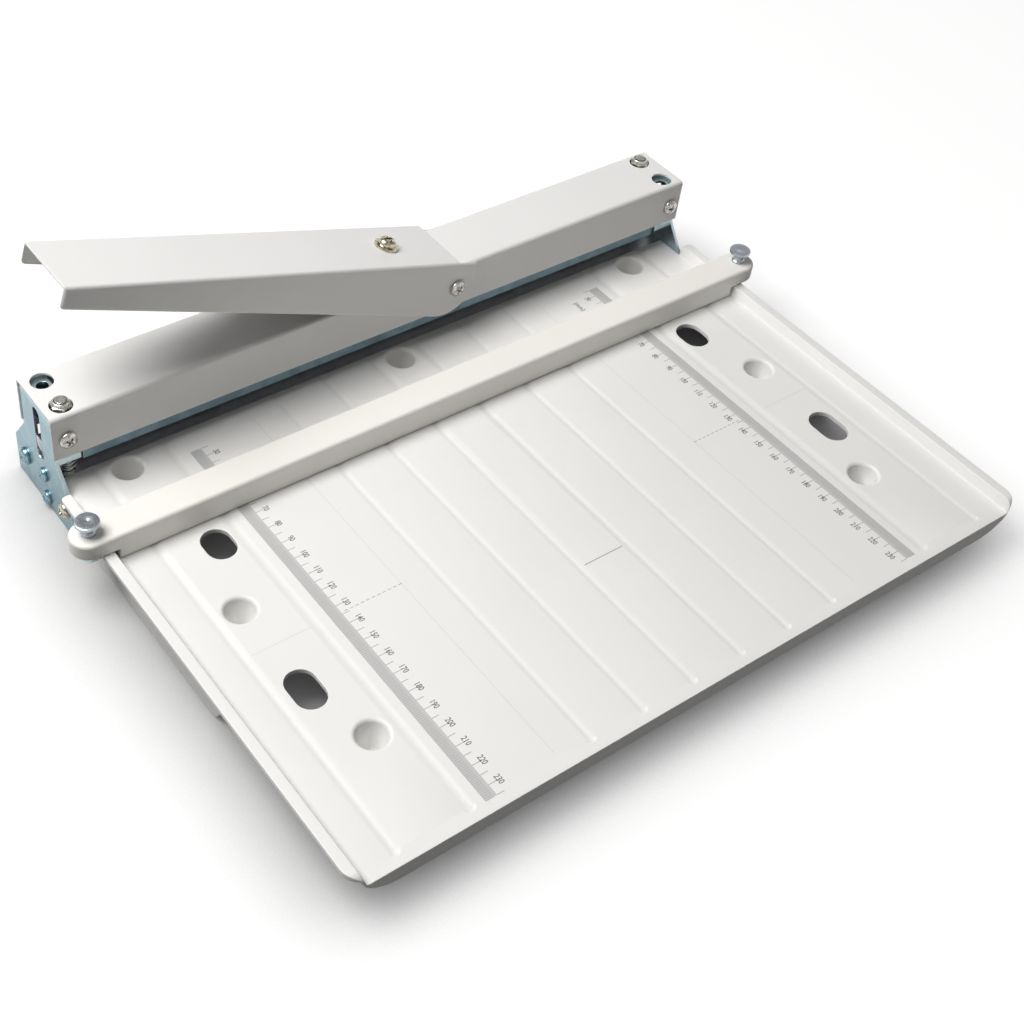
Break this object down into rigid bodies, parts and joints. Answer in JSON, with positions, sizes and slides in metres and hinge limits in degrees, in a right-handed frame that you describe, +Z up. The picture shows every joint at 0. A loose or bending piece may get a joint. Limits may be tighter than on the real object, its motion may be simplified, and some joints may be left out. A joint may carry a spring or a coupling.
{
  "type": "desktop paper creasing machine",
  "caption": "Hand-lever paper creasing press: a ruled feed table with a sliding stop bar, and a sprung blade carriage under a long sheet cover.",
  "frame": {"origin": "middle of the footprint, on the desk surface that the feet and end plates stand on", "axes": "+X along the crease line from the lever's handle side to its pivot side, +Y from the user to the rear, +Z up"},
  "size_m": [0.3708, 0.2656, 0.1225],
  "materials": {
    "table_plastic": "fine moulded grain, white",
    "foot_rubber": "matte",
    "beam_metal": "extruded, satin",
    "strip_plastic": "smooth",
    "plate_zinc": "blue passivated zinc",
    "rod_metal": "drawn, satin",
    "screw_metal": "bright nickel",
    "bolt_metal": "yellow zinc",
    "cover_paint": "white powder coat",
    "carrier_zinc": "blue passivated zinc",
    "blade_steel": "ground",
    "spring_steel": "oiled wire",
    "lever_paint": "white powder coat",
    "stop_plastic": "smooth, white",
    "thumb_metal": "turned"
  },
  "bodies": {
    "machine_frame": {"table_board": "table_plastic", "rubber_feet": "foot_rubber", "base_beam": "beam_metal", "crease_matrix": "strip_plastic", "left_end_plate": "plate_zinc", "right_end_plate": "plate_zinc", "rear_tie_rod": "rod_metal", "tie_rod_screws": "screw_metal", "beam_screws": "screw_metal", "table_screws": "screw_metal", "top_cover": "cover_paint", "cover_screws": "screw_metal", "spring_bolts": "bolt_metal", "spring_nuts": "screw_metal", "lever_axle": "rod_metal", "axle_screws": "screw_metal", "pivot_washers": "strip_plastic"},
    "press_carriage": {"upper_die_carrier": "carrier_zinc", "blade_bar": "blade_steel", "creasing_blade": "blade_steel", "blade_bar_screws": "screw_metal", "blade_grub_screws": "rod_metal", "left_return_spring": "spring_steel", "right_return_spring": "spring_steel"},
    "hand_lever": {"press_lever": "lever_paint", "press_screw": "screw_metal", "press_washer": "screw_metal", "press_nut": "screw_metal"},
    "paper_stop": {"stop_bar": "stop_plastic", "left_clamp_plate": "plate_zinc", "right_clamp_plate": "plate_zinc"},
    "left_knob": {"left_thumbscrew": "thumb_metal"},
    "right_knob": {"right_thumbscrew": "thumb_metal"}
  },
  "joints": [
    {"name": "lever_hinge", "type": "hinge", "parent": "machine_frame", "child": "hand_lever", "pos_m": [0.0305, 0.1075, 0.0485], "axis": [0, -1, 0], "range_deg": [0, 7.17]},
    {"name": "carriage_slide", "type": "slide", "parent": "machine_frame", "child": "press_carriage", "axis": [0, 0, -1], "range_m": [0, 0.0046], "stiffness_N_per_m": 1200, "springref_m": -0.012, "deforming": ["left_return_spring", "right_return_spring"]},
    {"name": "stop_slide", "type": "slide", "parent": "machine_frame", "child": "paper_stop", "axis": [0, 1, 0], "range_m": [-0.168, 0.022]},
    {"name": "left_knob_turn", "type": "hinge", "parent": "paper_stop", "child": "left_knob", "pos_m": [-0.1774, 0.0515, 0.034], "axis": [0, 0, 1], "range_deg": [0, 360]},
    {"name": "right_knob_turn", "type": "hinge", "parent": "paper_stop", "child": "right_knob", "pos_m": [0.1774, 0.0515, 0.034], "axis": [0, 0, 1], "range_deg": [0, 360]}
  ],
  "couplings": [
    {"joint": "carriage_slide", "follows": "lever_hinge", "m_per_rad": 0.03675}
  ]
}
